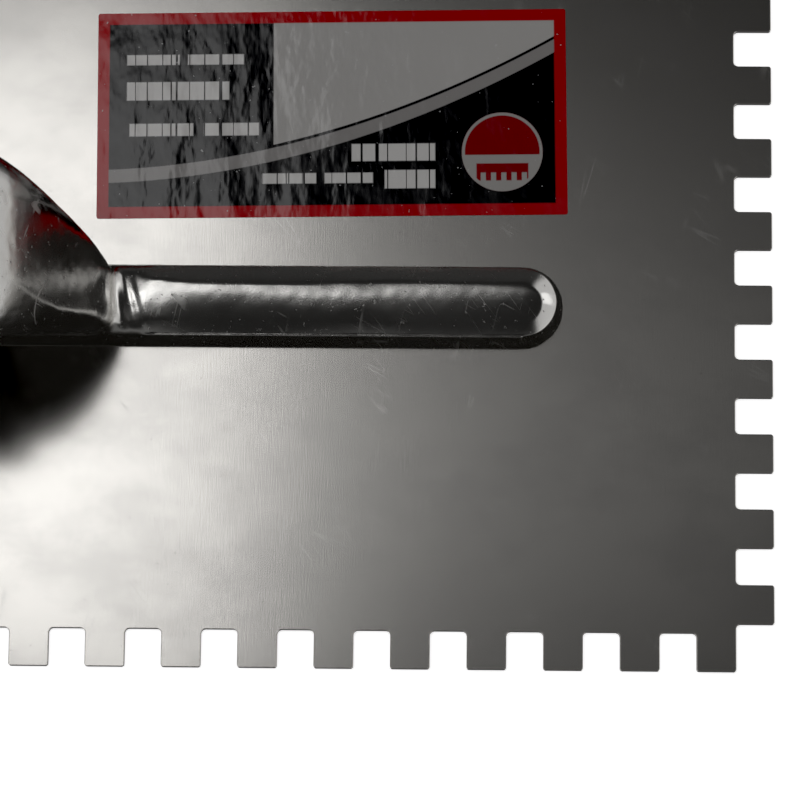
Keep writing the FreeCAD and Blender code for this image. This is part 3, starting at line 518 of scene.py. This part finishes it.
def makeMounting():
    piece = copyNode("mounting", "mounting_cast", castMetal)
    voxelSkin(piece, castShape["voxel"], castMetal)
    mesh = piece.data
    points = relax(mesh, readPoints(mesh), castShape["relaxRounds"])
    x, y, z = points.T
    top, out = barTop(x, y)
    hold = ramp(np.abs(x), *castShape["heldX"]) * ramp(z, *castShape["heldZ"])
    hold = hold * ramp(out, *castShape["heldOut"])
    points[:, 2] = z + (top - z) * hold
    writePoints(mesh, points)
    normals = readNormals(mesh)
    depth = castShape["polishWave"] * wobble(points, castShape["polishSize"], 4)
    depth += 0.6 * castShape["polishWave"] * wobble(points, castShape["polishSize"] * 0.4, 9)
    along = (x - castShape["ridgeAt"]) * 2 * math.pi / castShape["ridgePitch"]
    ridges = np.sin(along + castShape["ridgeSlant"] * y)
    near = ramp(x, *castShape["ridgeStart"]) * ramp(x, *castShape["ridgeEnd"])
    near = near * ramp(z, *castShape["ridgeRise"])
    depth += castShape["ridgeDepth"] * ridges * near
    writePoints(mesh, points + normals * depth[:, None])
    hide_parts("mounting")
    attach(piece, "root")
    print("mounting made:", len(mesh.polygons), "faces")


gripShape = {"voxel": 0.0006, "ribFirst": -0.072, "ribLast": -0.020, "ribPitch": 0.0058,
             "ribDepth": 0.0007, "ribWidth": 0.0011, "axisHigh": 0.0507, "relaxRounds": 6,
             "belowTurn": (-34, -46), "aboveTurn": (48, 60), "aboveFrom": (-0.040, -0.034),
             "aboveShare": 0.6}


def makeGrip():
    piece = copyNode("soft_grip", "soft_grip_sleeve", softRubber)
    voxelSkin(piece, gripShape["voxel"], softRubber)
    mesh = piece.data
    points = relax(mesh, readPoints(mesh), gripShape["relaxRounds"])
    writePoints(mesh, points)
    normals = readNormals(mesh)
    x, y, z = points.T
    turn = np.degrees(np.arctan2(z - gripShape["axisHigh"], np.abs(y)))
    radial = np.stack([np.zeros_like(y), y, z - gripShape["axisHigh"]], axis=1)
    outward = (normals * radial).sum(axis=1) > 0
    nearest = np.round((x - gripShape["ribFirst"]) / gripShape["ribPitch"])
    count = round((gripShape["ribLast"] - gripShape["ribFirst"]) / gripShape["ribPitch"])
    middle = gripShape["ribFirst"] + np.clip(nearest, 0, count) * gripShape["ribPitch"]
    groove = np.exp(-((x - middle) / gripShape["ribWidth"]) ** 2)
    below = ramp(turn, *gripShape["belowTurn"])
    above = ramp(turn, *gripShape["aboveTurn"]) * ramp(x, *gripShape["aboveFrom"])
    above = above * gripShape["aboveShare"]
    cut = groove * np.maximum(below, above) * outward * gripShape["ribDepth"]
    writePoints(mesh, points - normals * cut[:, None])
    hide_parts("soft_grip")
    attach(piece, "root")
    print("grip made:", len(mesh.polygons), "faces")


makeMounting()
makeGrip()


studio = {"boxHigh": 1.2, "boxX": (-1.0, -0.036), "boxY": (0.03, 0.40), "boxPower": 2.0,
          "endSize": (0.45, 0.3), "endPlace": (1.1, 0.28, 0.38), "endPower": 0.3,
          "sunPower": 0.55, "sunAngle": 70, "sunTurn": (8, -6),
          "floorHalf": 12.0, "floorColour": (0.86, 0.86, 0.86), "floorGlow": 0.74, "floorDrop": 0.0002,
          "deepest": 0.009, "ceiling": 0.03, "wall": 0.96,
          "haze": 0.33, "hazeBack": 0.16, "hazeWide": 0.0615, "hazeStart": 0.03, "hazeFall": -8.3,
          "hazeHigh": (0.7, 0.9), "lowSky": (0.5, 0.1), "rear": 0.02, "front": 0.12,
          "ends": 0.6, "endsAcross": (0.42, 0.66), "endsHigh": (0.66, 0.5)}


def makeLights():
    box = bpy.data.lights.new("softbox", "AREA")
    box.shape = "RECTANGLE"
    box.size = studio["boxX"][1] - studio["boxX"][0]
    box.size_y = studio["boxY"][1] - studio["boxY"][0]
    box.energy = studio["boxPower"]
    lamp = bpy.data.objects.new("softbox", box)
    lamp.location = (sum(studio["boxX"]) / 2, sum(studio["boxY"]) / 2, studio["boxHigh"])
    lamp.visible_camera = False
    end = bpy.data.lights.new("endPanel", "AREA")
    end.shape = "RECTANGLE"
    end.size, end.size_y = studio["endSize"]
    end.energy = studio["endPower"]
    panel = bpy.data.objects.new("endPanel", end)
    panel.location = studio["endPlace"]
    panel.rotation_mode = "QUATERNION"
    panel.rotation_quaternion = Vector(studio["endPlace"]).to_track_quat("Z", "Y")
    panel.visible_camera = False
    sky = bpy.data.lights.new("overhead", "SUN")
    sky.energy = studio["sunPower"]
    sky.angle = math.radians(studio["sunAngle"])
    glow = bpy.data.objects.new("overhead", sky)
    glow.rotation_euler = (*(math.radians(angle) for angle in studio["sunTurn"]), 0)
    glow.visible_glossy = False
    glow.visible_camera = False
    for item in (lamp, panel, glow):
        bpy.context.scene.collection.objects.link(item)
    print("lights made")


def makeFloor():
    half = studio["floorHalf"]
    mesh = bpy.data.meshes.new("floor")
    corners = [(-half, -half, 0), (half, -half, 0), (half, half, 0), (-half, half, 0)]
    mesh.from_pydata(corners, [], [(0, 1, 2, 3)])
    floor = bpy.data.objects.new("floor", mesh)
    floor.location.z = -studio["floorDrop"]
    bpy.context.scene.collection.objects.link(floor)
    paper, tree, shader = newMaterial("paleFloor", Roughness=0.9, Specular_IOR_Level=0.1)
    fibres = noiseAt(tree, objectPlace(tree), (120, 150, 120), 3, 0.5)
    plug(tree, shader["Base Color"], tint(tree, fibres, studio["floorColour"], (0.88, 0.88, 0.875)))
    shader["Emission Color"].default_value = (1, 1, 1, 1)
    shader["Emission Strength"].default_value = studio["floorGlow"]
    mesh.materials.append(paper)
    floor.visible_glossy = False
    print("floor made")


def makeRoom():  # dim surroundings, a bright haze overhead, brighter ends, a pale wall behind
    world = bpy.data.worlds.new("studioRoom")
    world.use_nodes = True
    tree = world.node_tree
    tree.nodes.clear()
    way = addNode(tree, "ShaderNodeSeparateXYZ")
    plug(tree, way.inputs[0], addNode(tree, "ShaderNodeTexCoord").outputs["Generated"])
    right, back, up = way.outputs
    aside = calc(tree, "DIVIDE", calc(tree, "SUBTRACT", back, studio["hazeBack"]), studio["hazeWide"])
    aside = calc(tree, "EXPONENT", calc(tree, "MULTIPLY", calc(tree, "MULTIPLY", aside, aside), -1.0))
    past = calc(tree, "MAXIMUM", calc(tree, "ADD", right, studio["hazeStart"]), 0.0)
    along = calc(tree, "EXPONENT", calc(tree, "MULTIPLY", past, studio["hazeFall"]))
    haze = calc(tree, "MULTIPLY", calc(tree, "MULTIPLY", aside, along), studio["haze"])
    haze = calc(tree, "MULTIPLY", haze, remap(tree, up, *studio["hazeHigh"]))
    low = remap(tree, up, *studio["lowSky"])
    sides = remap(tree, back, 0.1, -0.5, studio["rear"], studio["front"])
    ends = remap(tree, calc(tree, "ABSOLUTE", right), *studio["endsAcross"], 0, studio["ends"])
    ends = calc(tree, "MULTIPLY", ends, remap(tree, up, *studio["endsHigh"]))
    haze = calc(tree, "ADD", haze, studio["ceiling"])
    level = calc(tree, "ADD", calc(tree, "MULTIPLY", low, sides), haze)
    level = calc(tree, "ADD", level, ends)
    room = addNode(tree, "ShaderNodeBackground")
    plug(tree, room.inputs["Color"], level)
    wall = addNode(tree, "ShaderNodeBackground")
    wall.inputs["Color"].default_value = (*[studio["wall"]] * 3, 1)
    mix = addNode(tree, "ShaderNodeMixShader")
    plug(tree, mix.inputs[0], addNode(tree, "ShaderNodeLightPath").outputs["Is Camera Ray"])
    plug(tree, mix.inputs[1], room.outputs[0])
    plug(tree, mix.inputs[2], wall.outputs[0])
    plug(tree, addNode(tree, "ShaderNodeOutputWorld").inputs["Surface"], mix.outputs[0])
    bpy.context.scene.world = world
    view = bpy.context.scene.view_settings
    view.view_transform = "Standard"
    view.use_curve_mapping = True
    view.curve_mapping.black_level = [studio["deepest"]] * 3
    print("room made")


viewpoint = {"place": (0.0921, -0.1155, 0.5802), "tilt": 9.76, "lean": 1.43, "roll": 0.43,
             "lens": 157.5, "sensor": 36, "nearest": 0.01}


def makeCamera():
    lens = bpy.data.cameras.new("camera")
    lens.lens = viewpoint["lens"]
    lens.sensor_width = viewpoint["sensor"]
    lens.clip_start = viewpoint["nearest"]
    camera = bpy.data.objects.new("camera", lens)
    turn = (Matrix.Rotation(math.radians(viewpoint["tilt"]), 4, "X")
            @ Matrix.Rotation(math.radians(viewpoint["lean"]), 4, "Y")
            @ Matrix.Rotation(math.radians(viewpoint["roll"]), 4, "Z"))
    camera.matrix_world = Matrix.Translation(viewpoint["place"]) @ turn
    bpy.context.scene.collection.objects.link(camera)
    bpy.context.scene.camera = camera
    print("camera set")


makeLights()
makeFloor()
makeRoom()
makeCamera()
